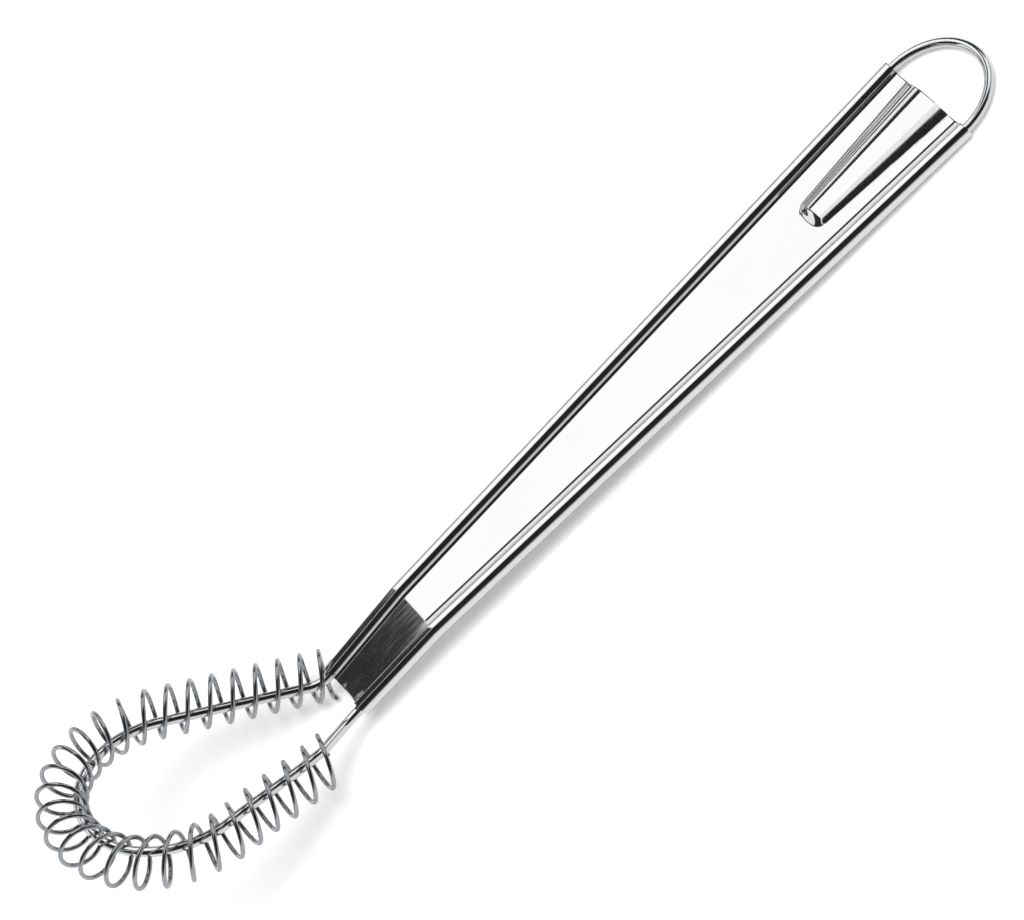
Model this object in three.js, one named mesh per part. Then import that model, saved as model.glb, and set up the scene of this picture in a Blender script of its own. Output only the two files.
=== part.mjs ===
// Spiral whisk: a rolled sheet handle, a wire hanging loop, a teardrop core wire and a loose coil on it.
// Millimetres, +Z up. The handle lies along X with its rolled edges up, and the head points to -X.
import * as THREE from 'three';

// Sheet of the handle
const SHEET_THICKNESS = 0.6;
const SHEET_LENGTH = 172;
const HEAD_SPACING = 13.2;          // between the centres of the rolled edges at the head cut
const HANG_SPACING = 27.5;          // the same at the hanging cut
const WEB_DROP = 0.75;              // from the wires' level down to the middle of the web
const WEB_FILLET = 2;               // radius of the bend between the web and a rolled edge
const CURL_END = -150;              // degrees from straight outward to a rolled edge's free end
const NECK_LENGTH = 22.5;           // from the head cut to the fold across the sheet
const NECK_DROP = 4.9;              // degrees that the neck is folded down
const FOLD_RADIUS = 10;             // of the fold, at the wires' level

// Flute pressed up into the web at the hanging end
const FLUTE_LENGTH = 36;
const FLUTE_NOSE = 3;               // length of its rounded narrow end
const NOSE_BLUNTNESS = 0.75;        // share of the flute's width that the nose starts with
const FLUTE_WIDTH_NARROW = 8.2;
const FLUTE_WIDTH_WIDE = 14.9;
const FLUTE_RISE_NARROW = 1.5;
const FLUTE_RISE_WIDE = 2.7;

// Wires held in the rolled edges
const WIRE_DIAMETER = 2.2;
const WIRE_CLEARANCE = 0.2;         // between a wire and the sheet rolled round it
const HANG_LEG = 28;                // wire inside each edge at the hanging end
const LOOP_SETBACK = 0.1;           // how far inside the hanging cut the loop's arc begins
const LEG_STOP = 4.5;               // how far short of the fold the head wire's legs end

// Head: both arms bend up at a corner, open out and meet in the arc of the tip
const CORNER_DISTANCE = 3;          // from the head cut to the corner of the bend
const CORNER_RADIUS = 7.5;
const HEAD_RISE = 26.1;             // degrees that the head's plane rises from the handle's
const TIP_DISTANCE = 39;            // from the corners to the centre of the tip's arc
const TIP_RADIUS = 19.35;

// Coil on the core wire, pushed out until the wire lies along the inside of its turns, most at the tip
const COIL_WIRE = 1;
const COIL_DIAMETER = 11.4;         // outside
const COIL_TURNS = 30;
const COIL_SEAT = 0.2;              // clearance to the core wire where they come closest
const COIL_SLACK = 0.7;             // how much less it is pushed out on the arms than at the tip
const COIL_LIFT = 3;                // degrees from straight out to the direction that it is pushed
const COIL_LEAN = 0.8;              // how far the outer side of a turn leans back along the wire
const COIL_OVERHANG = 1.4;          // coil that reaches back past the corner of the far arm
const BARE_WIRE = 13.6;             // core wire left bare between the last turn and the near cut
const END_PITCH = 3.4;              // of the first and the last turn

// Fineness of the round shapes
const CURL_STEPS = 14;
const FILLET_STEPS = 3;
const FLUTE_COLUMNS = 8;
const PRESSED_SHARE = 0.9;          // most of the flat web that the flute's columns may take
const FLUTE_STATIONS = 5;
const NOSE_STATIONS = 4;
const FOLD_STATIONS = 3;
const WIRE_SIDES = 10;
const WIRE_STEP = 2.3;              // length of wire between two rings
const STEPS_PER_TURN = 8;
const CUT_STEPS = 1;                // steps past the inner side of a turn at which the coil is cut
const COIL_SIDES = 5;

const steel = (name, color, roughness) =>
  new THREE.MeshStandardMaterial({ name, color, roughness, metalness: 1 });

const wireRadius = WIRE_DIAMETER / 2;
const curlMiddle = wireRadius + WIRE_CLEARANCE + SHEET_THICKNESS / 2;
const curlEnd = THREE.MathUtils.degToRad(CURL_END);
const filletReach = Math.sqrt((curlMiddle + WEB_FILLET) ** 2 - (WEB_FILLET - WEB_DROP) ** 2);
const filletTurn = Math.asin(filletReach / (curlMiddle + WEB_FILLET));
const neckDrop = THREE.MathUtils.degToRad(NECK_DROP);
const foldLength = FOLD_RADIUS * neckDrop;

// Centre line of the handle at a distance from the head cut: straight neck, fold, straight grip
function handleFrame(distance) {
  const fromFold = distance - NECK_LENGTH;
  const bent = THREE.MathUtils.clamp((foldLength / 2 - fromFold) / foldLength, 0, 1) * neckDrop;
  const along = new THREE.Vector3(Math.cos(bent), 0, Math.sin(bent));
  const up = new THREE.Vector3(-Math.sin(bent), 0, Math.cos(bent));
  const foldEnd = new THREE.Vector3(foldLength / 2, 0, 0);
  if (fromFold >= foldLength / 2) return { point: new THREE.Vector3(fromFold, 0, 0), along, up };
  const onArc = new THREE.Vector3(-Math.sin(bent), 0, Math.cos(bent) - 1).multiplyScalar(FOLD_RADIUS);
  const straight = Math.min(fromFold + foldLength / 2, 0);
  return { point: foldEnd.add(onArc).addScaledVector(along, straight), along, up };
}

const edgeOffset = (distance) =>
  THREE.MathUtils.lerp(HEAD_SPACING, HANG_SPACING, distance / SHEET_LENGTH) / 2;

// Centre of a rolled edge, side +1 for the far one and -1 for the near one
function edgeCentre(distance, side) {
  const { point } = handleFrame(distance);
  return point.setY(side * edgeOffset(distance));
}

// Width and rise of the flute at a distance from the head cut, rounded off towards its nose
function fluteAt(distance) {
  const run = distance - (SHEET_LENGTH - FLUTE_LENGTH);
  const share = THREE.MathUtils.clamp(run / FLUTE_LENGTH, 0, 1);
  const nose = THREE.MathUtils.clamp(run / FLUTE_NOSE, 0, 1);
  const rounding = Math.sqrt(1 - (1 - nose) ** 2);
  const width = THREE.MathUtils.lerp(FLUTE_WIDTH_NARROW, FLUTE_WIDTH_WIDE, share);
  const rise = THREE.MathUtils.lerp(FLUTE_RISE_NARROW, FLUTE_RISE_WIDE, share);
  const fullness = THREE.MathUtils.lerp(NOSE_BLUNTNESS, 1, rounding);
  return { halfWidth: (width / 2) * fullness, rise: rise * rounding };
}

// Cross-section of the sheet as a closed outline of [across, up] points, the same count at each station.
// Each skin lies at a level above or below the middle of the sheet's thickness, and the upper skin of the web
// turns up through a fillet to become the outer side of the rolled edge.
function sheetSection(distance) {
  const offset = edgeOffset(distance);
  const flatEnd = offset - filletReach;
  const flute = fluteAt(distance);
  const halfWidth = Math.min(flute.halfWidth, flatEnd * PRESSED_SHARE);
  const rolledEdge = (level) => {
    const points = [];
    for (let i = 0; i < FILLET_STEPS; i++) {
      const turn = (filletTurn * i) / FILLET_STEPS;
      const radius = WEB_FILLET - level;
      points.push([flatEnd + radius * Math.sin(turn), WEB_FILLET - WEB_DROP - radius * Math.cos(turn)]);
    }
    for (let i = 0; i <= CURL_STEPS; i++) {
      const turn = THREE.MathUtils.lerp(Math.PI / 2 + filletTurn, curlEnd, i / CURL_STEPS);
      const radius = curlMiddle + level;
      points.push([offset + radius * Math.cos(turn), radius * Math.sin(turn)]);
    }
    return points;
  };
  const skin = (level) => {
    const far = rolledEdge(level);
    const near = far.map(([across, up]) => [-across, up]).reverse();
    const web = [];
    for (let i = 0; i <= FLUTE_COLUMNS; i++) {
      const across = (2 * i) / FLUTE_COLUMNS - 1;
      web.push([across * halfWidth, level - WEB_DROP + flute.rise * (1 - across ** 2)]);
    }
    return [...near, ...web, ...far];
  };
  return [...skin(-SHEET_THICKNESS / 2), ...skin(SHEET_THICKNESS / 2).reverse()];
}

// Distances from the head cut at which the sheet's section is set out
function sheetStations() {
  const stations = [0];
  for (let i = 0; i < FOLD_STATIONS; i++) {
    stations.push(NECK_LENGTH + foldLength * (i / (FOLD_STATIONS - 1) - 0.5));
  }
  const fluteStart = SHEET_LENGTH - FLUTE_LENGTH;
  for (let i = 0; i < NOSE_STATIONS; i++) {
    stations.push(fluteStart + FLUTE_NOSE * (1 - Math.cos((i / NOSE_STATIONS) * (Math.PI / 2))));
  }
  for (let i = 0; i < FLUTE_STATIONS; i++) {
    const share = i / (FLUTE_STATIONS - 1);
    stations.push(THREE.MathUtils.lerp(fluteStart + FLUTE_NOSE, SHEET_LENGTH, share));
  }
  return stations;
}

// Closed solid from rings of points: ring i is joined to ring i + 1, and the two ends are capped
function loft(rings, firstCap, lastCap) {
  const count = rings[0].length;
  const index = [];
  for (let i = 0; i + 1 < rings.length; i++) {
    for (let j = 0; j < count; j++) {
      const next = (j + 1) % count;
      const [a, b] = [i * count + j, i * count + next];
      const [c, d] = [a + count, b + count];
      index.push(a, b, d, a, d, c);
    }
  }
  const last = (rings.length - 1) * count;
  for (const [a, b, c] of firstCap) index.push(c, b, a);
  for (const [a, b, c] of lastCap) index.push(last + a, last + b, last + c);
  const geometry = new THREE.BufferGeometry();
  geometry.setFromPoints(rings.flat());
  geometry.setIndex(index);
  geometry.computeVertexNormals();
  return geometry;
}

function makeHandleSheet() {
  const rings = sheetStations().map((distance) => {
    const { point, up } = handleFrame(distance);
    return sheetSection(distance).map(([across, height]) =>
      point.clone().addScaledVector(up, height).add(new THREE.Vector3(0, across, 0)));
  });
  const capAt = (distance) => THREE.ShapeUtils.triangulateShape(
    sheetSection(distance).map(([across, height]) => new THREE.Vector2(across, height)), []);
  return loft(rings, capAt(0), capAt(SHEET_LENGTH));
}

// Arc of a wire, swept from a start point about an axis through its centre
class WireArc extends THREE.Curve {
  constructor(centre, start, axis, angle) {
    super();
    Object.assign(this, { centre, start, axis, angle });
  }

  getPoint(share, target = new THREE.Vector3()) {
    target.subVectors(this.start, this.centre).applyAxisAngle(this.axis, share * this.angle);
    return target.add(this.centre);
  }
}

// Arc of a given radius that rounds the corner between two straight runs
function cornerArc(before, corner, after, radius) {
  const towards = corner.clone().sub(before).normalize();
  const away = after.clone().sub(corner).normalize();
  const angle = towards.angleTo(away);
  const axis = towards.clone().cross(away).normalize();
  const start = corner.clone().addScaledVector(towards, -radius * Math.tan(angle / 2));
  const centre = start.clone().addScaledVector(axis.clone().cross(towards), radius);
  return new WireArc(centre, start, axis, angle);
}

// Joins arcs, in order, with straight runs between them and to the two ends
function wirePath(first, arcs, last) {
  const path = new THREE.CurvePath();
  let from = first;
  for (const arc of arcs) {
    path.add(new THREE.LineCurve3(from, arc.getPoint(0)));
    path.add(arc);
    from = arc.getPoint(1);
  }
  path.add(new THREE.LineCurve3(from, last));
  return path;
}

function makeWire(path) {
  const section = new THREE.Shape();
  for (let i = 0; i < WIRE_SIDES; i++) {
    const turn = (2 * Math.PI * i) / WIRE_SIDES;
    const [x, y] = [wireRadius * Math.cos(turn), wireRadius * Math.sin(turn)];
    if (i === 0) section.moveTo(x, y);
    else section.lineTo(x, y);
  }
  const steps = Math.round(path.getLength() / WIRE_STEP);
  return new THREE.ExtrudeGeometry(section, { steps, extrudePath: path, bevelEnabled: false });
}

// Hanging loop: two legs in the rolled edges and an arc that is tangent to both
function hangingPath() {
  const innerEnd = (side) => edgeCentre(SHEET_LENGTH - HANG_LEG, side);
  const outward = edgeCentre(SHEET_LENGTH, 1).sub(innerEnd(1)).normalize();
  const start = edgeCentre(SHEET_LENGTH, 1).addScaledVector(outward, -LOOP_SETBACK);
  const flare = Math.atan2(outward.y, outward.x);
  const radius = start.y / Math.cos(flare);
  const centre = new THREE.Vector3(start.x + radius * Math.sin(flare), 0, 0);
  const arc = new WireArc(centre, start, new THREE.Vector3(0, 0, -1), Math.PI + 2 * flare);
  return wirePath(innerEnd(1), [arc], innerEnd(-1));
}

// Plane of the head: its own direction away from the handle and its normal on the upper side
const headRise = THREE.MathUtils.degToRad(HEAD_RISE);
const headAlong = new THREE.Vector3(-Math.cos(headRise), 0, Math.sin(headRise));
const headNormal = new THREE.Vector3(Math.sin(headRise), 0, Math.cos(headRise));

const legEnd = (side) => edgeCentre(NECK_LENGTH - LEG_STOP, side);

function armCorner(side) {
  const cut = edgeCentre(0, side);
  const outward = cut.clone().sub(legEnd(side)).normalize();
  return cut.addScaledVector(outward, CORNER_DISTANCE);
}

// Outline of the head in its plane: straight arms from the corners, tangent to the arc of the tip
const headBase = armCorner(1).setY(0);
const armSpread = armCorner(1).y;
const armOpening = Math.asin(TIP_RADIUS / Math.hypot(TIP_DISTANCE, armSpread))
  - Math.atan2(armSpread, TIP_DISTANCE);
const armLength = (TIP_DISTANCE - TIP_RADIUS * Math.sin(armOpening)) / Math.cos(armOpening);
const tipSweep = Math.PI + 2 * armOpening;

const inHead = (reach, across) => headBase.clone().addScaledVector(headAlong, reach).setY(across);

// Core wire from the far edge round the tip to the near edge
function headPath() {
  const tangent = (side) =>
    inHead(armLength * Math.cos(armOpening), side * (armSpread + armLength * Math.sin(armOpening)));
  return wirePath(legEnd(1), [
    cornerArc(legEnd(1), armCorner(1), tangent(1), CORNER_RADIUS),
    new WireArc(inHead(TIP_DISTANCE, 0), tangent(1), headNormal, tipSweep),
    cornerArc(tangent(-1), armCorner(-1), legEnd(-1), CORNER_RADIUS),
  ], legEnd(-1));
}

// Frame on the core wire, at a distance from the far corner: point, direction, outward and how far into the
// tip's bend it is, 0 on the arms and 1 at its middle. The distance runs along the wire's outer side.
const outerRadius = TIP_RADIUS + wireRadius;

function outlineFrame(distance) {
  const past = THREE.MathUtils.clamp((distance - armLength) / (outerRadius * tipSweep), 0, 1);
  const heading = armOpening - past * tipSweep;
  const along = headAlong.clone().multiplyScalar(Math.cos(heading)).setY(Math.sin(heading));
  const out = headAlong.clone().multiplyScalar(-Math.sin(heading)).setY(Math.cos(heading));
  const beyond = distance - armLength - outerRadius * tipSweep;
  const straight = Math.min(distance - armLength, 0) + Math.max(beyond, 0);
  const point = inHead(TIP_DISTANCE, 0).addScaledVector(out, TIP_RADIUS).addScaledVector(along, straight);
  return { point, along, out, bend: Math.sin(Math.PI * past) };
}

// Centre line of the coil's wire: a left-handed helix round the core wire, moved out until the core wire lies
// in the inner corner of each turn at the tip, and a little less on the arms
function coilPoints() {
  const radius = (COIL_DIAMETER - COIL_WIRE) / 2;
  const flat = radius * Math.cos(Math.PI / STEPS_PER_TURN);
  const lift = THREE.MathUtils.degToRad(COIL_LIFT);
  const room = flat - COIL_WIRE / 2 - wireRadius - COIL_SEAT;
  const tipPush = room / Math.cos(Math.PI / STEPS_PER_TURN - lift);
  const begin = -COIL_OVERHANG;
  const end = 2 * armLength + outerRadius * tipSweep - (BARE_WIRE - CORNER_DISTANCE);
  const pitch = (end - begin - 2 * END_PITCH) / (COIL_TURNS - 2);
  const points = [];
  for (let i = 0; i <= COIL_TURNS * STEPS_PER_TURN; i++) {
    const turn = i / STEPS_PER_TURN;
    const inner = THREE.MathUtils.clamp(turn - 1, 0, COIL_TURNS - 2);
    const phase = Math.PI + (2 * Math.PI * (i + CUT_STEPS)) / STEPS_PER_TURN;
    const frame = outlineFrame(begin + inner * pitch + (turn - inner) * END_PITCH);
    const push = tipPush - COIL_SLACK * (1 - frame.bend);
    points.push(frame.point
      .addScaledVector(frame.along, -COIL_LEAN * Math.cos(phase))
      .addScaledVector(frame.out, push * Math.cos(lift) + radius * Math.cos(phase))
      .addScaledVector(headNormal, push * Math.sin(lift) + radius * Math.sin(phase)));
  }
  return points;
}

// Least gap between turns of the coil, from points more than half a turn apart
function leastGap(points) {
  let least = Infinity;
  for (let i = 0; i < points.length; i++) {
    for (let j = i + Math.ceil(STEPS_PER_TURN / 2) + 1; j < points.length; j++) {
      least = Math.min(least, points[i].distanceTo(points[j]) - COIL_WIRE);
    }
  }
  return least;
}

// Tube with flat ends along points, its section carried along without twist
function makeTube(points, radius, sides) {
  const direction = (i) => {
    const from = points[Math.max(i - 1, 0)];
    const to = points[Math.min(i + 1, points.length - 1)];
    return to.clone().sub(from).normalize();
  };
  let across = new THREE.Vector3(0, 0, 1).cross(direction(0)).normalize();
  const rings = points.map((point, i) => {
    const along = direction(i);
    across = across.clone().addScaledVector(along, -across.dot(along)).normalize();
    const other = along.clone().cross(across);
    return Array.from({ length: sides }, (_, side) => {
      const turn = (2 * Math.PI * side) / sides;
      return point.clone()
        .addScaledVector(across, radius * Math.cos(turn))
        .addScaledVector(other, radius * Math.sin(turn));
    });
  });
  const caps = Array.from({ length: sides - 2 }, (_, side) => [0, side + 1, side + 2]);
  return loft(rings, caps, caps);
}

function addPiece(group, name, geometry, material) {
  const piece = new THREE.Mesh(geometry, material);
  piece.name = name;
  group.add(piece);
}

const helix = coilPoints();
console.log(`coil: least gap between turns ${leastGap(helix).toFixed(2)} mm`);

const whisk = new THREE.Group();
addPiece(whisk, 'handle_sheet', makeHandleSheet(), steel('polished sheet', 0xd4d6d8, 0.12));
addPiece(whisk, 'hanging_loop', makeWire(hangingPath()), steel('polished wire', 0xcdd0d2, 0.15));
addPiece(whisk, 'head_wire', makeWire(headPath()), steel('polished wire', 0xcdd0d2, 0.15));
addPiece(whisk, 'whisk_coil', makeTube(helix, COIL_WIRE / 2, COIL_SIDES), steel('spring wire', 0xbfc3c6, 0.2));

// Origin under the middle of the whisk, on the surface that it lies on
const box = new THREE.Box3().setFromObject(whisk);
const middle = box.getCenter(new THREE.Vector3());
whisk.position.set(-middle.x, -middle.y, -box.min.z);

export default whisk;
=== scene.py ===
import math

import bmesh
import bpy
from mathutils import Matrix, Vector


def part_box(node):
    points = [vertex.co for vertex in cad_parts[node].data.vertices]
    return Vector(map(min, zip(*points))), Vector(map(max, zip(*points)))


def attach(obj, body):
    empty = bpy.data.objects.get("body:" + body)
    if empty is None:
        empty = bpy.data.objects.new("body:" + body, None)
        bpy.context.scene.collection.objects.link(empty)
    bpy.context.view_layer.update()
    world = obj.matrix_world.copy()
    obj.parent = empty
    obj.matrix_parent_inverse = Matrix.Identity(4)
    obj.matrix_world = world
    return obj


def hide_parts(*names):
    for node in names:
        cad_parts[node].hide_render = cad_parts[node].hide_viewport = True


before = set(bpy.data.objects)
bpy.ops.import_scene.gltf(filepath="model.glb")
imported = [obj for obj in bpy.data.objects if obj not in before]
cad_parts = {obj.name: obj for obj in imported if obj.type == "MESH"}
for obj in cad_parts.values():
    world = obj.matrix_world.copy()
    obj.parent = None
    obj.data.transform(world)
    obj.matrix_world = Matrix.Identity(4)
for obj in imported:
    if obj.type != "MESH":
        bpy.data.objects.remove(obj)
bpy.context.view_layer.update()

# Handle: one stamped sheet of stainless steel, tapered towards the head. Both long edges are rolled up and
# over a wire, a short neck is folded down at the head end, and a fluted cone is pressed up at the other end.
MM = 0.001
SHEET_THICKNESS = 0.6 * MM
SHEET_LENGTH = 172 * MM
HEAD_SPACING = 13.2 * MM            # between the centres of the rolled edges at the head cut
HANG_SPACING = 27.5 * MM            # the same at the hanging cut
CURL_END = math.radians(-150)       # of the free edge, from straight outward
WEB_DROP = 0.75 * MM                # from the wires' level down to the middle of the web
WEB_FILLET = 1.4 * MM               # of the bend between the web and a rolled edge
RAMP_BEND = 6 * MM                  # of the gentle bend where rolling lifted the web beside that fillet
RAMP_LENGTH = 1 * MM
RAMP_ANGLE = math.radians(12)
NECK_LENGTH = 22.5 * MM             # from the head cut to the fold
NECK_DROP = math.radians(4.9)
FOLD_RADIUS = 10 * MM               # at the wires' level
FLUTE_LENGTH = 36 * MM
FLUTE_NOSE = 3 * MM                 # length of its rounded narrow end
NOSE_BLUNTNESS = 0.75               # share of the flute's width that the nose starts with
FLUTE_WIDTH = (8.2 * MM, 14.9 * MM)  # at the narrow and the wide end
FLUTE_RISE = (1.5 * MM, 2.7 * MM)
FLUTE_FILLET = 0.12                 # softness of the flute's foot, as a share of its height
FLUTE_MARGIN = 1.3                  # pressed zone over the flute's own width
PRESSED_SHARE = 0.9                 # most of the flat web that the pressed zone may take
WIRE_RADIUS = 1.1 * MM
WIRE_CLEARANCE = 0.2 * MM           # between a wire and the sheet rolled round it
EDGE_BREAK = 0.1 * MM               # tiny round on the sheared edges
BREAK_SEGMENTS = 2
BREAK_ANGLE = math.radians(60)      # least turn of an edge that gets this round
EDGE_ROW = 0.3 * MM                 # from each cut to the next section, which keeps the sheet flat up to it
CURL_COLUMNS = 30
FILLET_COLUMNS = 12
BEND_COLUMNS = 6
FLUTE_COLUMNS = 36
EDGE_COLUMNS = 3
NECK_STATIONS = 5
FOLD_STATIONS = 9
GRIP_STATIONS = 24
NOSE_STATIONS = 18
FLUTE_STATIONS = 16
SHARP_ANGLE = math.radians(35)
STEEL_SHEET = "E8E8E9"
STEEL_HOLLOW_SHADE = "E4E4E6"             # painted shade: the sheet's colour darkened in the hollows of its slow waves
STEEL_SHEARED = "A9ABAE"
NOISE_SPAN = (0.3, 0.7)             # values that most of a noise texture lies between
POLISH_LINE = 0.5 * MM              # coarser than real polishing lines, so that they show
POLISH_RUN = 45 * MM
POLISH_RELIEF = (0.04, 0.02 * MM)   # strength and depth of the lines
POLISH_ROUGHNESS = (0.05, 0.12)
PRESS_WAVE = 14 * MM                # slow waves that rolling and pressing leave in the sheet
PRESS_RELIEF = (0.15, 0.1 * MM)
TEAR_GRAIN = 0.3 * MM
TEAR_RELIEF = (0.2, 0.03 * MM)
TEAR_ROUGHNESS = (0.25, 0.45)

curl_middle = WIRE_RADIUS + WIRE_CLEARANCE + SHEET_THICKNESS / 2
bend_run = RAMP_BEND * math.sin(RAMP_ANGLE) + RAMP_LENGTH * math.cos(RAMP_ANGLE)
bend_rise = RAMP_BEND * (1 - math.cos(RAMP_ANGLE)) + RAMP_LENGTH * math.sin(RAMP_ANGLE)
fillet_run = bend_run - WEB_FILLET * math.sin(RAMP_ANGLE)           # to the fillet's centre
fillet_level = bend_rise + WEB_FILLET * math.cos(RAMP_ANGLE) - WEB_DROP
fillet_turn = math.acos(fillet_level / (curl_middle + WEB_FILLET))
edge_reach = fillet_run + (curl_middle + WEB_FILLET) * math.sin(fillet_turn)
fold_length = FOLD_RADIUS * NECK_DROP
sheet_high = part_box("handle_sheet")[1]
loop_low, loop_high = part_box("hanging_loop")
fold_place = Vector((
    sheet_high.x - (SHEET_LENGTH - NECK_LENGTH),
    (loop_low.y + loop_high.y) / 2,
    (loop_low.z + loop_high.z) / 2,
))


def linear_colour(hex_colour):
    """Linear RGBA of an sRGB hex colour."""
    channels = [int(hex_colour[i:i + 2], 16) / 255 for i in (0, 2, 4)]
    return [c / 12.92 if c <= 0.04045 else ((c + 0.055) / 1.055) ** 2.4 for c in channels] + [1.0]


def add_object(name, data):
    """A new object of the scene that holds a mesh, a lamp or a camera."""
    added = bpy.data.objects.new(name, data)
    bpy.context.scene.collection.objects.link(added)
    return added


def add_node(tree, kind, inputs=None, **settings):
    """Adds a node, sets its settings, and links or sets its inputs."""
    node = tree.nodes.new(kind)
    for name, value in settings.items():
        setattr(node, name, value)
    for key, value in (inputs or {}).items():
        if isinstance(value, bpy.types.NodeSocket):
            tree.links.new(value, node.inputs[key])
        else:
            node.inputs[key].default_value = value
    return node


def new_material(name):
    """A material with an empty tree and its output node."""
    material = bpy.data.materials.new(name)
    material.use_nodes = True
    material.node_tree.nodes.clear()
    return material, material.node_tree, add_node(material.node_tree, "ShaderNodeOutputMaterial")


def noise(tree, place, sizes, detail):
    """Noise at a place, with a grain of its own size along each axis."""
    stretched = add_node(tree, "ShaderNodeMapping", {"Vector": place, "Scale": [1 / size for size in sizes]})
    texture = add_node(tree, "ShaderNodeTexNoise", {
        "Vector": stretched.outputs["Vector"], "Scale": 1.0, "Detail": detail})
    return texture.outputs["Fac"]


def mapped(tree, value, old_span, new_span):
    """A value carried from one span to another."""
    node = add_node(tree, "ShaderNodeMapRange", {
        "Value": value, "From Min": old_span[0], "From Max": old_span[1],
        "To Min": new_span[0], "To Max": new_span[1]})
    return node.outputs["Result"]


def relief_normal(tree, height, relief, under=None):
    """Normal of a surface with a fine relief, given by its strength and depth, over another normal."""
    strength, depth = relief
    inputs = {"Height": height, "Strength": strength, "Distance": depth}
    if under is not None:
        inputs["Normal"] = under
    return add_node(tree, "ShaderNodeBump", inputs).outputs["Normal"]


def bare_steel(tree, output, colour, roughness, normal):
    """Makes bare metal the surface of a material."""
    steel = add_node(tree, "ShaderNodeBsdfPrincipled", {
        "Base Color": colour, "Metallic": 1.0, "Roughness": roughness, "Normal": normal})
    tree.links.new(steel.outputs["BSDF"], output.inputs["Surface"])


def clamped(value):
    """A value kept between 0 and 1."""
    return min(max(value, 0), 1)


def handle_frame(distance):
    """Point and upward direction of the handle's middle line, at a distance from the head cut."""
    from_fold = distance - NECK_LENGTH
    bent = clamped((fold_length / 2 - from_fold) / fold_length) * NECK_DROP
    along = Vector((math.cos(bent), 0, math.sin(bent)))
    up = Vector((-math.sin(bent), 0, math.cos(bent)))
    if from_fold >= fold_length / 2:
        return fold_place + Vector((from_fold, 0, 0)), up
    on_arc = Vector((-math.sin(bent), 0, math.cos(bent) - 1)) * FOLD_RADIUS
    straight = along * min(from_fold + fold_length / 2, 0)
    return fold_place + Vector((fold_length / 2, 0, 0)) + on_arc + straight, up


def edge_offset(distance):
    """Half of the distance between the centres of the rolled edges."""
    return (HEAD_SPACING + (HANG_SPACING - HEAD_SPACING) * distance / SHEET_LENGTH) / 2


def flute_shares(distance):
    """How far along the flute, and along its nose, a distance from the head cut is."""
    run = distance - (SHEET_LENGTH - FLUTE_LENGTH)
    return clamped(run / FLUTE_LENGTH), clamped(run / FLUTE_NOSE)


def flute_half_width(distance):
    """Half of the flute's width, drawn in a little towards its nose."""
    share, nose = flute_shares(distance)
    fullness = NOSE_BLUNTNESS + (1 - NOSE_BLUNTNESS) * math.sin(nose * math.pi / 2)
    return (FLUTE_WIDTH[0] + (FLUTE_WIDTH[1] - FLUTE_WIDTH[0]) * share) / 2 * fullness


def flute_height(distance, across):
    """Rise of the pressed sheet, across in half widths of the flute, with a soft foot all round."""
    share, nose = flute_shares(distance)
    rise = FLUTE_RISE[0] + (FLUTE_RISE[1] - FLUTE_RISE[0]) * share
    crown = 1 - across ** 2
    softened = (crown + math.hypot(crown, FLUTE_FILLET)) / 2
    return rise * softened * (1 - math.cos(nose * math.pi)) / 2


def sheet_section(distance):
    """Middle line of the sheet across the handle, as (across, up) pairs from edge to edge."""
    offset = edge_offset(distance)
    half_width = flute_half_width(distance)
    flat_end = offset - edge_reach
    edge = []
    for i in range(BEND_COLUMNS + 1):
        turn = RAMP_ANGLE * i / BEND_COLUMNS
        edge.append((flat_end + RAMP_BEND * math.sin(turn), RAMP_BEND * (1 - math.cos(turn)) - WEB_DROP))
    for i in range(FILLET_COLUMNS):
        turn = RAMP_ANGLE + (fillet_turn - RAMP_ANGLE) * i / FILLET_COLUMNS
        edge.append((flat_end + fillet_run + WEB_FILLET * math.sin(turn),
                     fillet_level - WEB_FILLET * math.cos(turn)))
    for i in range(CURL_COLUMNS + 1):
        turn = math.pi / 2 + fillet_turn
        turn += (CURL_END - turn) * i / CURL_COLUMNS
        edge.append((offset + curl_middle * math.cos(turn), curl_middle * math.sin(turn)))
    pressed = min(half_width * FLUTE_MARGIN, flat_end * PRESSED_SHARE)
    web = []
    for i in range(1, EDGE_COLUMNS):
        web.append(-flat_end + (flat_end - pressed) * i / EDGE_COLUMNS)
    web += [pressed * (2 * i / FLUTE_COLUMNS - 1) for i in range(FLUTE_COLUMNS + 1)]
    web += [-across for across in reversed(web[:EDGE_COLUMNS - 1])]
    near = [(-across, up) for across, up in reversed(edge)]
    flat = [(across, flute_height(distance, across / half_width) - WEB_DROP) for across in web]
    return near + flat + edge


def sheet_stations():
    """Distances from the head cut at which the section is set out: close where the form turns."""
    flute_start = SHEET_LENGTH - FLUTE_LENGTH
    fold_start = NECK_LENGTH - fold_length / 2
    runs = (
        (EDGE_ROW, fold_start, NECK_STATIONS),
        (fold_start, fold_start + fold_length, FOLD_STATIONS),
        (fold_start + fold_length, flute_start, GRIP_STATIONS),
        (flute_start, flute_start + FLUTE_NOSE, NOSE_STATIONS),
        (flute_start + FLUTE_NOSE, SHEET_LENGTH - EDGE_ROW, FLUTE_STATIONS),
    )
    stations = [begin + (end - begin) * i / count for begin, end, count in runs for i in range(count)]
    return [0, *stations, SHEET_LENGTH - EDGE_ROW, SHEET_LENGTH]


def plain_mesh(source, name):
    """Turns an object and its modifiers into a plain mesh with crisp edges, and removes the source."""
    evaluated = source.evaluated_get(bpy.context.evaluated_depsgraph_get())
    mesh = bpy.data.meshes.new_from_object(evaluated)
    bpy.data.objects.remove(source)
    mesh.name = name
    mesh.shade_smooth()
    mesh.set_sharp_from_angle(angle=SHARP_ANGLE)
    return add_object(name, mesh)


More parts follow.
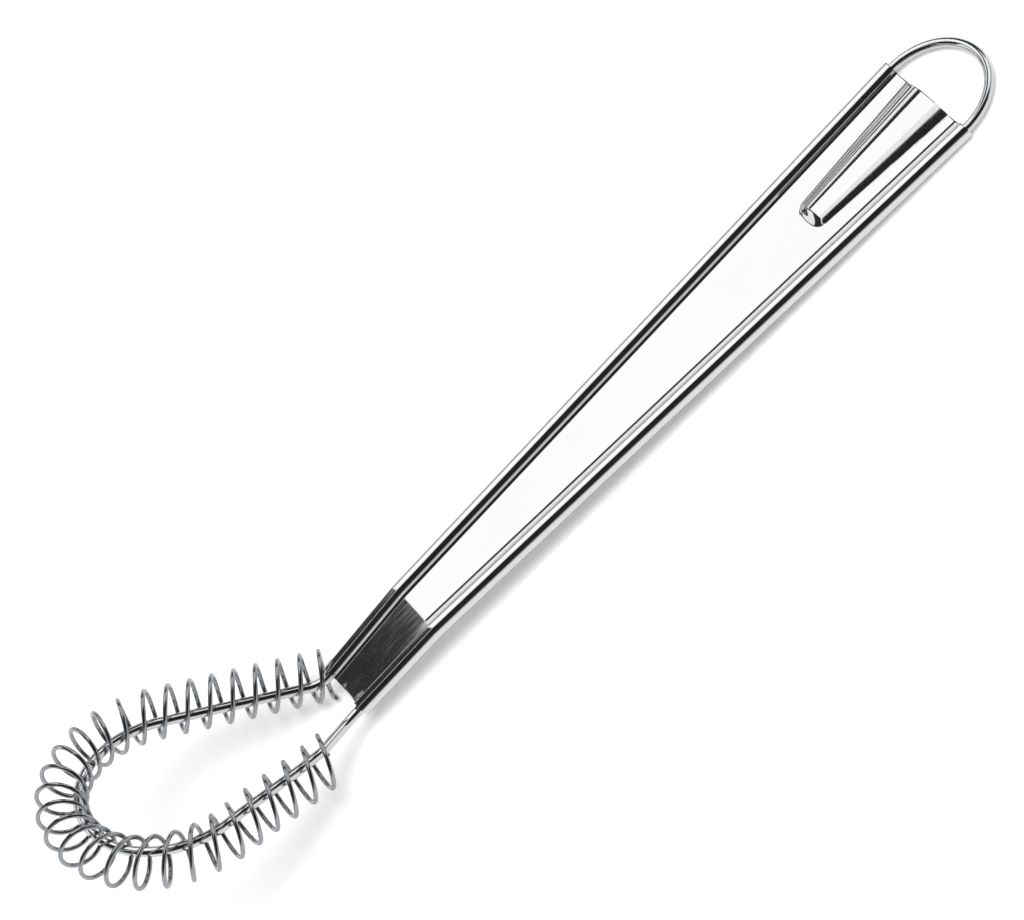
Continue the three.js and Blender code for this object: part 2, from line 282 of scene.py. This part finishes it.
def make_handle_shell():
    """Lofts the sheet's middle surface through its sections and gives it its thickness."""
    shell = bmesh.new()
    rows = []
    for distance in sheet_stations():
        point, up = handle_frame(distance)
        places = [point + up * height + Vector((0, across, 0)) for across, height in sheet_section(distance)]
        rows.append([shell.verts.new(place) for place in places])
    for row, following in zip(rows, rows[1:]):
        for i in range(len(row) - 1):
            shell.faces.new((row[i], following[i], following[i + 1], row[i + 1]))
    mesh = bpy.data.meshes.new("handle_middle_surface")
    shell.to_mesh(mesh)
    shell.free()
    mesh.materials.append(polished_sheet)
    mesh.materials.append(sheared_edge)
    source = add_object("handle_middle_surface", mesh)
    wall = source.modifiers.new("sheet wall", "SOLIDIFY")
    wall.thickness = SHEET_THICKNESS
    wall.offset = 0
    wall.use_even_offset = True
    wall.material_offset_rim = 1
    broken = source.modifiers.new("broken edges", "BEVEL")
    broken.width = EDGE_BREAK
    broken.segments = BREAK_SEGMENTS
    broken.limit_method = "ANGLE"
    broken.angle_limit = BREAK_ANGLE
    return plain_mesh(source, "handle_shell")


# Mirror-polished stainless sheet: a bright, slightly cool metal. The buffing runs lengthwise and leaves very
# fine lines, and the pressed sheet is never quite flat, so its reflections waver a little.
polished_sheet, tree, output = new_material("mirror-polished stainless sheet")
place = add_node(tree, "ShaderNodeTexCoord").outputs["Object"]
lines = noise(tree, place, (POLISH_RUN, POLISH_LINE, POLISH_LINE), detail=4)
waves = noise(tree, place, (PRESS_WAVE, PRESS_WAVE, PRESS_WAVE), detail=1)
# Painted shade: the colour darkens a little where the slow waves lie low, in their hollows
sheet_with_shade = add_node(tree, "ShaderNodeMix", {
    "Factor": waves, "A": linear_colour(STEEL_HOLLOW_SHADE), "B": linear_colour(STEEL_SHEET)}, data_type="RGBA")
gloss = mapped(tree, lines, NOISE_SPAN, POLISH_ROUGHNESS)
buffed = relief_normal(tree, lines, POLISH_RELIEF)
wavy = relief_normal(tree, waves, PRESS_RELIEF, buffed)
bare_steel(tree, output, sheet_with_shade.outputs["Result"], gloss, wavy)

# Sheared edge of the sheet: the same steel where the blanking tool tore it, duller and finely streaked
sheared_edge, tree, output = new_material("sheared stainless edge")
place = add_node(tree, "ShaderNodeTexCoord").outputs["Object"]
tear = noise(tree, place, (TEAR_GRAIN, TEAR_GRAIN, TEAR_GRAIN), detail=3)
torn = mapped(tree, tear, (0, 1), TEAR_ROUGHNESS)
bare_steel(tree, output, linear_colour(STEEL_SHEARED), torn, relief_normal(tree, tear, TEAR_RELIEF))

handle_shell = make_handle_shell()
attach(handle_shell, "handle")
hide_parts("handle_sheet")

# Hanging loop: a length of round stainless wire bent to a U. Its legs lie inside the rolled edges, which
# grip them, and its bow stands out of the wide end of the handle.
FAR = 1                             # side of the handle
NEAR = -1
HANG_LEG = 28 * MM
LOOP_SETBACK = 0.45 * MM            # from the hanging cut back to the start of the bow
WIRE_SIDES = 28
ARC_STEP = math.radians(3)
STEEL_WIRE = "DCDEE0"
WIRE_ROUGHNESS = (0.06, 0.14)
WIRE_PLACE = "wire_run"             # attribute with the place along and round the wire
DRAW_LINE = 0.25 * MM               # coarser than real drawing lines, so that they show
DRAW_RUN = 12 * MM
DRAW_RELIEF = (0.06, 0.02 * MM)     # strength and depth of the lines


def arc_points(centre, start, axis, angle):
    """Points on an arc that sweeps a start point about an axis through a centre."""
    count = max(int(math.ceil(abs(angle) / ARC_STEP)), 2)
    arm = start - centre
    return [centre + Matrix.Rotation(angle * i / count, 3, axis) @ arm for i in range(count + 1)]


def edge_centre(distance, side):
    """Centre of a rolled edge of one side, at a distance from the head cut."""
    point = handle_frame(distance)[0]
    return Vector((point.x, fold_place.y + side * edge_offset(distance), point.z))


def line_object(name, points):
    """A chain of edges through points, for a node tree to work on."""
    mesh = bpy.data.meshes.new(name)
    mesh.from_pydata([tuple(point) for point in points], [(i, i + 1) for i in range(len(points) - 1)], [])
    return add_object(name, mesh)


def vector_of(tree, operation, first, second):
    """Result of a vector math node on two vectors."""
    node = add_node(tree, "ShaderNodeVectorMath", {0: first, 1: second}, operation=operation)
    return node.outputs["Vector"]


def new_node_group(name, inputs):
    """An empty geometry tree with named inputs, and its two end nodes."""
    group = bpy.data.node_groups.new(name, "GeometryNodeTree")
    group.interface.new_socket("Geometry", in_out="OUTPUT", socket_type="NodeSocketGeometry")
    group.interface.new_socket("Geometry", in_out="INPUT", socket_type="NodeSocketGeometry")
    for label, kind in inputs:
        group.interface.new_socket(label, in_out="INPUT", socket_type=kind)
    return group, add_node(group, "NodeGroupInput"), add_node(group, "NodeGroupOutput")


def run_node_group(source, group, values, name):
    """Puts a tree on an object, sets its inputs by identifier, and keeps the result as a plain mesh."""
    modifier = source.modifiers.new(group.name, "NODES")
    modifier.node_group = group
    for item in group.interface.items_tree:
        if item.in_out == "INPUT" and item.name in values:
            modifier[item.identifier] = values[item.name]
    return plain_mesh(source, name)


# Tree for a round wire: a circle swept along the chain, with the place along and round the wire stored on it
wire_tree, given, made = new_node_group("round wire", (
    ("Wire Radius", "NodeSocketFloat"), ("Wire Sides", "NodeSocketInt"), ("Finish", "NodeSocketMaterial")))
path = add_node(wire_tree, "GeometryNodeMeshToCurve", {"Mesh": given.outputs["Geometry"]})
run = add_node(wire_tree, "GeometryNodeSplineParameter")
marked = add_node(wire_tree, "GeometryNodeCaptureAttribute", {"Geometry": path.outputs["Curve"]})
marked.capture_items.new("FLOAT", "Run")
wire_tree.links.new(run.outputs["Length"], marked.inputs["Run"])
circle = add_node(wire_tree, "GeometryNodeCurvePrimitiveCircle", {
    "Resolution": given.outputs["Wire Sides"], "Radius": given.outputs["Wire Radius"]})
position = add_node(wire_tree, "GeometryNodeInputPosition")
around = add_node(wire_tree, "GeometryNodeCaptureAttribute", {"Geometry": circle.outputs["Curve"]})
around.capture_items.new("VECTOR", "Round")
wire_tree.links.new(position.outputs["Position"], around.inputs["Round"])
swept = add_node(wire_tree, "GeometryNodeCurveToMesh", {
    "Curve": marked.outputs["Geometry"], "Profile Curve": around.outputs["Geometry"], "Fill Caps": True})
length = add_node(wire_tree, "ShaderNodeCombineXYZ", {"Z": marked.outputs["Run"]})
unrolled = vector_of(wire_tree, "ADD", around.outputs["Round"], length.outputs["Vector"])
stored = add_node(wire_tree, "GeometryNodeStoreNamedAttribute", {
    "Geometry": swept.outputs["Mesh"], "Name": WIRE_PLACE}, data_type="FLOAT_VECTOR")
wire_tree.links.new(unrolled, stored.inputs["Value"])
real = add_node(wire_tree, "GeometryNodeRealizeInstances", {"Geometry": stored.outputs["Geometry"]})
coated = add_node(wire_tree, "GeometryNodeSetMaterial", {
    "Geometry": real.outputs["Geometry"], "Material": given.outputs["Finish"]})
wire_tree.links.new(coated.outputs["Geometry"], made.inputs["Geometry"])


def drawn_steel(name, colour, roughness):
    """Drawn stainless wire, polished: bright, with fine lines that the die leaves along the wire."""
    material, tree, output = new_material(name)
    place = add_node(tree, "ShaderNodeAttribute", attribute_name=WIRE_PLACE).outputs["Vector"]
    lines = noise(tree, place, (DRAW_LINE, DRAW_LINE, DRAW_RUN), detail=3)
    gloss = mapped(tree, lines, NOISE_SPAN, roughness)
    bare_steel(tree, output, linear_colour(colour), gloss, relief_normal(tree, lines, DRAW_RELIEF))
    return material


polished_wire = drawn_steel("polished stainless wire", STEEL_WIRE, WIRE_ROUGHNESS)


def make_wire(points, name):
    """A polished wire of the gauge that the rolled edges hold, through points."""
    values = {"Wire Radius": WIRE_RADIUS, "Wire Sides": WIRE_SIDES, "Finish": polished_wire}
    return run_node_group(line_object(name + "_path", points), wire_tree, values, name)


leg_tops = {side: edge_centre(SHEET_LENGTH - HANG_LEG, side) for side in (FAR, NEAR)}
outward = (edge_centre(SHEET_LENGTH, FAR) - leg_tops[FAR]).normalized()
bow_start = edge_centre(SHEET_LENGTH, FAR) - outward * LOOP_SETBACK
flare = math.atan2(outward.y, outward.x)
bow_radius = (bow_start.y - fold_place.y) / math.cos(flare)
bow_centre = Vector((bow_start.x + bow_radius * math.sin(flare), fold_place.y, bow_start.z))
bow = arc_points(bow_centre, bow_start, Vector((0, 0, -1)), math.pi + 2 * flare)
hanging_wire = make_wire([leg_tops[FAR], *bow, leg_tops[NEAR]], "hanging_wire")
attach(hanging_wire, "handle")
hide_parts("hanging_loop")

# Core wire of the head: round stainless wire bent to a teardrop. Its legs lie inside the rolled edges of the
# neck, both arms bend up where they leave it, open out and meet in the round of the tip.
LEG_STOP = 4.5 * MM                 # from the fold to the ends of the legs
CORNER_DISTANCE = 3 * MM            # from the head cut to the corner of an arm
CORNER_RADIUS = 7.5 * MM
HEAD_RISE = math.radians(26.1)
TIP_DISTANCE = 39 * MM              # from the corners to the centre of the tip
TIP_RADIUS = 19.35 * MM
NEAR_SPLAY = math.radians(3)        # how much wider the near arm leaves the tip than the far one
BARE_WIRE = 13.2 * MM               # from the cut to the bend that brings the near arm back in
BARE_BEND = 8 * MM                  # radius of that bend
NEAR_SWAY = 1.5 * MM                # how far the near side of the tip was pressed in
SWAY_START = 0.6                    # share of the way round the tip at which that begins
CORE_STEPS = 90

head_along = Vector((-math.cos(HEAD_RISE), 0, math.sin(HEAD_RISE)))
head_normal = Vector((math.sin(HEAD_RISE), 0, math.cos(HEAD_RISE)))
leg_ends = {side: edge_centre(NECK_LENGTH - LEG_STOP, side) for side in (FAR, NEAR)}
arm_corners = {}
for side, leg_end in leg_ends.items():
    cut = edge_centre(0, side)
    arm_corners[side] = cut + (cut - leg_end).normalized() * CORNER_DISTANCE
head_base = Vector((arm_corners[FAR].x, fold_place.y, arm_corners[FAR].z))
arm_spread = arm_corners[FAR].y - fold_place.y
arm_opening = math.asin(TIP_RADIUS / math.hypot(TIP_DISTANCE, arm_spread))
arm_opening -= math.atan2(arm_spread, TIP_DISTANCE)
arm_length = (TIP_DISTANCE - TIP_RADIUS * math.sin(arm_opening)) / math.cos(arm_opening)
tip_sweep = math.pi + 2 * arm_opening - NEAR_SPLAY
tip_centre = head_base + head_along * TIP_DISTANCE


def corner_points(before, corner, after, radius):
    """Points on the arc that rounds a corner between two straight runs."""
    towards = (corner - before).normalized()
    away = (after - corner).normalized()
    angle = towards.angle(away)
    axis = towards.cross(away).normalized()
    start = corner - towards * radius * math.tan(angle / 2)
    return arc_points(start + axis.cross(towards) * radius, start, axis, angle)


def head_directions(heading):
    """Directions in the head's plane, along a heading and outward from it."""
    along = head_along * math.cos(heading) + Vector((0, math.sin(heading), 0))
    out = Vector((0, math.cos(heading), 0)) - head_along * math.sin(heading)
    return along, out


arm_out = Vector((0, arm_spread + arm_length * math.sin(arm_opening), 0))
far_start = head_base + head_along * arm_length * math.cos(arm_opening) + arm_out
near_along, near_out = head_directions(arm_opening - tip_sweep)
from_corner = tip_centre + near_out * TIP_RADIUS - arm_corners[NEAR]
short_of = from_corner.length_squared - (BARE_WIRE - CORNER_DISTANCE) ** 2
near_run = -from_corner.dot(near_along) - math.sqrt(from_corner.dot(near_along) ** 2 - short_of)
bare_start = arm_corners[NEAR] + from_corner + near_along * near_run
tip_run = (TIP_RADIUS + WIRE_RADIUS) * tip_sweep        # round the tip, on the core wire's outer side
sway_begin = arm_length + tip_run * SWAY_START
sway_end = arm_length + tip_run + near_run


def core_place(distance):
    """Point and outward direction of the core wire from the far corner on, and its share of the tip."""
    past = clamped((distance - arm_length) / tip_run)
    along, out = head_directions(arm_opening - past * tip_sweep)
    straight = min(distance - arm_length, 0) + max(distance - arm_length - tip_run, 0)
    swayed = clamped((distance - sway_begin) / (sway_end - sway_begin))
    radius = TIP_RADIUS - NEAR_SWAY * math.sin(math.pi * swayed) ** 2
    return tip_centre + out * radius + along * straight, out, past


bend_margin = BARE_BEND / 2
core_run = sway_end - bend_margin - arm_length
head_points = [core_place(arm_length + core_run * i / CORE_STEPS)[0] for i in range(CORE_STEPS + 1)]
core_points = [
    leg_ends[FAR],
    *corner_points(leg_ends[FAR], arm_corners[FAR], far_start, CORNER_RADIUS),
    *head_points,
    *corner_points(head_points[-1], bare_start, arm_corners[NEAR], BARE_BEND),
    *corner_points(bare_start, arm_corners[NEAR], leg_ends[NEAR], CORNER_RADIUS),
    leg_ends[NEAR],
]
core_wire = make_wire(core_points, "core_wire")
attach(core_wire, "handle")
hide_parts("head_wire")

# Coil: one length of thin spring wire wound left-handed into a loose coil and threaded on the core wire. It
# is bent round the head, so its turns press outward, most at the tip, and the core wire lies inside them.
COIL_WIRE_RADIUS = 0.5 * MM
COIL_RADIUS = 5.2 * MM              # of the wire's centre line
COIL_TURNS = 30
COIL_SEAT = 0.2 * MM                # clearance to the core wire where they come closest
COIL_SLACK = 0.7 * MM               # how much less it is pushed out on the arms than at the tip
COIL_LIFT = math.radians(3)         # from straight out to the direction that it is pushed
COIL_LEAN = (-0.4 * MM, 2.1 * MM)   # of the turns' outer side, back along the coil, at its two ends
COIL_TWIST = 0.45 * MM              # of the turns' upper side, back along the coil
COIL_CREEP = 2 * MM                 # most that loose turns of the near arm have slid towards the tip
CREEP_SKEW = 3.5                    # moves the most crept turns towards the end of the coil
COIL_OVERHANG = 2.5 * MM            # coil that reaches back past the corner of the far arm
END_PITCH = 3.4 * MM                # of the first and the last turn
COIL_CUT = math.radians(45)         # past the inner side of a turn
STEPS_PER_TURN = 32
COIL_SIDES = 12
STEEL_SPRING = "A8ABAE"
SPRING_ROUGHNESS = (0.05, 0.12)

tip_push = COIL_RADIUS - COIL_WIRE_RADIUS - WIRE_RADIUS - COIL_SEAT


def outline_point(distance):
    """Point of the coil's middle line, beside a place on the core wire."""
    point, out, past = core_place(distance)
    push = tip_push - COIL_SLACK * (1 - math.sin(math.pi * past))
    return point + (out * math.cos(COIL_LIFT) + head_normal * math.sin(COIL_LIFT)) * push


pitch = (sway_end + COIL_OVERHANG - 2 * END_PITCH) / (COIL_TURNS - 2)
middle_line = []
for i in range(COIL_TURNS * STEPS_PER_TURN + 1):
    turn = i / STEPS_PER_TURN
    inner = min(max(turn - 1, 0), COIL_TURNS - 2)
    crept = COIL_CREEP * math.sin(math.pi * (turn / COIL_TURNS) ** CREEP_SKEW)
    middle_line.append(outline_point(inner * pitch + (turn - inner) * END_PITCH - COIL_OVERHANG - crept))


def number_of(tree, operation, *values):
    """Result of a math node on numbers."""
    return add_node(tree, "ShaderNodeMath", dict(enumerate(values)), operation=operation).outputs["Value"]


def scaled(tree, vector, amount):
    """A vector times a number."""
    node = add_node(tree, "ShaderNodeVectorMath", {0: vector, "Scale": amount}, operation="SCALE")
    return node.outputs["Vector"]


# Tree for the coil: each point of the middle line is moved round it by its own share of a turn
coil_tree, given, made = new_node_group("loose coil", (
    ("Coil Radius", "NodeSocketFloat"), ("Steps Per Turn", "NodeSocketInt"), ("Cut Angle", "NodeSocketFloat"),
    ("First Lean", "NodeSocketFloat"), ("Last Lean", "NodeSocketFloat"), ("Twist", "NodeSocketFloat"),
    ("Head Normal", "NodeSocketVector"), ("Wire Radius", "NodeSocketFloat"), ("Wire Sides", "NodeSocketInt"),
    ("Finish", "NodeSocketMaterial")))
path = add_node(coil_tree, "GeometryNodeMeshToCurve", {"Mesh": given.outputs["Geometry"]})
step = add_node(coil_tree, "GeometryNodeInputIndex").outputs["Index"]
turns = number_of(coil_tree, "DIVIDE", step, given.outputs["Steps Per Turn"])
phase = number_of(coil_tree, "MULTIPLY_ADD", turns, math.tau, given.outputs["Cut Angle"])
cosine = number_of(coil_tree, "COSINE", phase)
sine = number_of(coil_tree, "SINE", phase)
reach_out = number_of(coil_tree, "MULTIPLY", cosine, given.outputs["Coil Radius"])
reach_up = number_of(coil_tree, "MULTIPLY", sine, given.outputs["Coil Radius"])
share = add_node(coil_tree, "GeometryNodeSplineParameter").outputs["Factor"]
lean = mapped(coil_tree, share, (0, 1), (given.outputs["First Lean"], given.outputs["Last Lean"]))
twist_back = number_of(coil_tree, "MULTIPLY", sine, given.outputs["Twist"])
lean_back = number_of(coil_tree, "MULTIPLY_ADD", cosine, lean, twist_back)
tangent = add_node(coil_tree, "GeometryNodeInputTangent").outputs["Tangent"]
up = given.outputs["Head Normal"]
out = vector_of(coil_tree, "CROSS_PRODUCT", tangent, up)
round_path = vector_of(coil_tree, "ADD", scaled(coil_tree, out, reach_out), scaled(coil_tree, up, reach_up))
leaned = vector_of(coil_tree, "SUBTRACT", round_path, scaled(coil_tree, tangent, lean_back))
wound = add_node(coil_tree, "GeometryNodeSetPosition", {"Geometry": path.outputs["Curve"], "Offset": leaned})
chain = add_node(coil_tree, "GeometryNodeCurveToMesh", {"Curve": wound.outputs["Geometry"]})
wire = add_node(coil_tree, "GeometryNodeGroup", node_tree=wire_tree)
coil_tree.links.new(chain.outputs["Mesh"], wire.inputs["Geometry"])
for label in ("Wire Radius", "Wire Sides", "Finish"):
    coil_tree.links.new(given.outputs[label], wire.inputs[label])
coil_tree.links.new(wire.outputs["Geometry"], made.inputs["Geometry"])

spring_wire = drawn_steel("bright drawn spring wire", STEEL_SPRING, SPRING_ROUGHNESS)
coil = run_node_group(
    line_object("coil_middle_line", middle_line), coil_tree,
    {"Coil Radius": COIL_RADIUS, "Steps Per Turn": STEPS_PER_TURN, "Cut Angle": math.pi + COIL_CUT,
     "First Lean": COIL_LEAN[0], "Last Lean": COIL_LEAN[1], "Twist": COIL_TWIST, "Head Normal": head_normal,
     "Wire Radius": COIL_WIRE_RADIUS, "Wire Sides": COIL_SIDES, "Finish": spring_wire}, "coil_spring")
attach(coil, "coil")
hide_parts("whisk_coil")

# Stage: white paper under the whisk, which lies on its lowest turn and on the wide end of its handle, a white
# surround, a soft lamp overhead, and glossy-only panels whose bright and dark strips draw the polished steel.
WHITE = "FFFFFF"
FLOOR_SIZE = 4.0
FLOOR_COLOURS = ("F4F4F4", "F5F5F5")
PAPER_FIBRE = 2 * MM
PAPER_LIFT = 0.3                    # glow of the paper that only the camera sees, to keep it white
SURROUND_DIFFUSE = 0.24
SURROUND_TINT = "FBF8FB"
SUN_STRENGTH = 2.5
SUN_WIDTH = math.radians(45)
SUN_LEAN = math.radians(11)         # of the lamp towards the near side
SOFTBOX_GLOW = 1.23
GREY_GLOW = 0.45
DARK_GLOW = 0.03
BLACK_GLOW = 0.02
PANEL_DISTANCE = 0.7
PANEL_REACH = 1.2                   # of the longest panels, towards each end of the whisk
NECK_FLAG = (-0.2, -0.09)           # along the handle from its fold, what the folded neck mirrors
ARM_FLAG = (0.28, 0.52)             # the same for the far arm of the core wire
END_CARD_WIDTH = 1.0
END_CARD_RISE = (0.12, 0.8)

# Spans of the panels round the handle's line, in degrees from overhead towards the near side
SOFTBOX_SPAN = (-51, -2)
ARM_FLAG_SPAN = (-51, -6)
NECK_FLAG_SPAN = (-75, 5)
HEAD_FLAG_SPAN = (-40, 5)
HIGH_SLAT_SPAN = (-64, -51)
END_FLAG_SPAN = (-80, -45)
LOW_SLAT_SPAN = (-82, -76)
FRONT_FLAG_SPAN = (9, 75)
FRONT_GAP_SPAN = (75, 89)

coil_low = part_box("whisk_coil")[0]
sheet_low = fold_place.z - curl_middle - SHEET_THICKNESS / 2        # under the rolled edges
rest_point = Vector((fold_place.x - NECK_LENGTH - CORNER_DISTANCE, 0, coil_low.z))
floor_slope = math.atan2(sheet_low - rest_point.z, sheet_high.x - rest_point.x)


def add_card(name, corners, material):
    """A flat card with four corners."""
    mesh = bpy.data.meshes.new(name)
    mesh.from_pydata(corners, [], [(0, 1, 2, 3)])
    mesh.materials.append(material)
    return add_object(name, mesh)


paper, tree, output = new_material("white paper sweep")
place = add_node(tree, "ShaderNodeTexCoord").outputs["Object"]
fibre = noise(tree, place, (PAPER_FIBRE, PAPER_FIBRE, PAPER_FIBRE), detail=3)
dark, light = (linear_colour(colour) for colour in FLOOR_COLOURS)
shade = add_node(tree, "ShaderNodeMix", {"Factor": fibre, "A": dark, "B": light}, data_type="RGBA")
matt = add_node(tree, "ShaderNodeBsdfDiffuse", {"Color": shade.outputs["Result"]})
seen = add_node(tree, "ShaderNodeLightPath").outputs["Is Camera Ray"]
lift = number_of(tree, "MULTIPLY", seen, PAPER_LIFT)
glow = add_node(tree, "ShaderNodeEmission", {"Color": linear_colour(WHITE), "Strength": lift})
lit = add_node(tree, "ShaderNodeAddShader", {0: matt.outputs["BSDF"], 1: glow.outputs["Emission"]})
tree.links.new(lit.outputs["Shader"], output.inputs["Surface"])

half = FLOOR_SIZE / 2
floor_corners = [(-half, -half, 0), (half, -half, 0), (half, half, 0), (-half, half, 0)]
floor = add_card("paper_floor", floor_corners, paper)
floor.location = rest_point
floor.rotation_euler = (0, -floor_slope, 0)

world = bpy.data.worlds.new("white surround")
bpy.context.scene.world = world
world.use_nodes = True
tree = world.node_tree
tree.nodes.clear()
ray = add_node(tree, "ShaderNodeLightPath")
seen = number_of(tree, "MAXIMUM", ray.outputs["Is Camera Ray"], ray.outputs["Is Glossy Ray"])
shown = number_of(tree, "MAXIMUM", seen, ray.outputs["Is Transmission Ray"])
white = add_node(tree, "ShaderNodeBackground", {"Color": linear_colour(WHITE), "Strength": 1.0})
ambient = add_node(tree, "ShaderNodeBackground", {
    "Color": linear_colour(SURROUND_TINT), "Strength": SURROUND_DIFFUSE})
surround = add_node(tree, "ShaderNodeMixShader", {
    0: shown, 1: ambient.outputs["Background"], 2: white.outputs["Background"]})
add_node(tree, "ShaderNodeOutputWorld", {"Surface": surround.outputs["Shader"]})

sun_light = bpy.data.lights.new("overhead_lamp", "SUN")
sun_light.energy = SUN_STRENGTH
sun_light.angle = SUN_WIDTH
sun = add_object("overhead_lamp", sun_light)
sun.rotation_euler = (SUN_LEAN, 0, 0)
sun.visible_glossy = False


def add_panel(name, brightness, corners):
    """A glowing card that only reflections show."""
    material, tree, output = new_material(name)
    glow = add_node(tree, "ShaderNodeEmission", {"Color": linear_colour(WHITE), "Strength": brightness})
    tree.links.new(glow.outputs["Emission"], output.inputs["Surface"])
    panel = add_card(name, corners, material)
    for kind in ("camera", "diffuse", "shadow", "transmission", "volume_scatter"):
        setattr(panel, "visible_" + kind, False)


def strip(span, left, right):
    """Corners of a strip along the handle that covers a span round its line."""
    rows = []
    for degrees in span:
        angle = math.radians(degrees)
        across = -PANEL_DISTANCE * math.sin(angle)
        up = PANEL_DISTANCE * math.cos(angle)
        rows.append([(left, across, up), (right, across, up)])
    return [*rows[0], *reversed(rows[1])]


def end_card(along):
    """Corners of an upright card across the whisk's line, beyond one of its ends."""
    half = END_CARD_WIDTH / 2
    low, high = END_CARD_RISE
    return [(along, -half, low), (along, half, low), (along, half, high), (along, -half, high)]


flag_start, flag_end = (fold_place.x + along for along in NECK_FLAG)
arm_start, arm_end = (fold_place.x + along for along in ARM_FLAG)
add_panel("back_softbox", SOFTBOX_GLOW, strip(SOFTBOX_SPAN, flag_end, arm_start))
add_panel("end_softbox", SOFTBOX_GLOW, strip(SOFTBOX_SPAN, arm_end, PANEL_REACH))
add_panel("arm_flag", DARK_GLOW, strip(ARM_FLAG_SPAN, arm_start, arm_end))
add_panel("neck_flag", DARK_GLOW, strip(NECK_FLAG_SPAN, flag_start, flag_end))
add_panel("head_flag", DARK_GLOW, strip(HEAD_FLAG_SPAN, -PANEL_REACH, flag_start))
add_panel("back_slat_high", DARK_GLOW, strip(HIGH_SLAT_SPAN, flag_end, arm_start))
add_panel("end_flag", DARK_GLOW, strip(END_FLAG_SPAN, arm_start, PANEL_REACH))
add_panel("back_slat_low", DARK_GLOW, strip(LOW_SLAT_SPAN, -PANEL_REACH, PANEL_REACH))
add_panel("front_flag", BLACK_GLOW, strip(FRONT_FLAG_SPAN, -PANEL_REACH, PANEL_REACH))
add_panel("front_gap", GREY_GLOW, strip(FRONT_GAP_SPAN, -PANEL_REACH, PANEL_REACH))
add_panel("head_card", GREY_GLOW, end_card(-PANEL_REACH))
add_panel("hanging_card", GREY_GLOW, end_card(PANEL_REACH))

# Camera at the photograph's viewing angle: from the near side, halfway up, with the handle running diagonally
# through the picture. Its place is measured from a point on the handle's line, beyond the fold.
PICTURE_WIDTH = 1024
FOCAL_PIXELS = 4529.5               # focal length in pixels of that width
SENSOR_WIDTH = 36.0
VIEW_TILT = math.radians(44.7)      # from straight above, towards the near side
VIEW_YAW = math.radians(0.99)
HANDLE_SLANT = math.radians(45.06)  # of the handle's line in the picture
CAMERA_DISTANCE = 936.5 * MM
AIM = Vector((63.5, 0, 0)) * MM     # from the fold to the point that the camera's place is measured from
AIM_SHIFT = (25.19 * MM, 13.79 * MM)  # of that point from the picture's middle, to the right and up

towards_camera = Vector((math.sin(VIEW_YAW), -math.cos(VIEW_YAW) * math.sin(VIEW_TILT),
                         math.cos(VIEW_YAW) * math.cos(VIEW_TILT)))
handle_side = (Vector((1, 0, 0)) - towards_camera * towards_camera.x).normalized()
handle_up = towards_camera.cross(handle_side)
picture_right = handle_side * math.cos(HANDLE_SLANT) - handle_up * math.sin(HANDLE_SLANT)
picture_up = handle_side * math.sin(HANDLE_SLANT) + handle_up * math.cos(HANDLE_SLANT)
camera_place = fold_place + AIM + towards_camera * CAMERA_DISTANCE
camera_place -= picture_right * AIM_SHIFT[0] + picture_up * AIM_SHIFT[1]
lens = bpy.data.cameras.new("camera")
lens.sensor_fit = "HORIZONTAL"
lens.sensor_width = SENSOR_WIDTH
lens.lens = FOCAL_PIXELS * SENSOR_WIDTH / PICTURE_WIDTH
camera = add_object("camera", lens)
turned = Matrix((picture_right, picture_up, towards_camera)).transposed()
camera.matrix_world = Matrix.Translation(camera_place) @ turned.to_4x4()
bpy.context.scene.camera = camera
bpy.context.scene.view_settings.view_transform = "Standard"
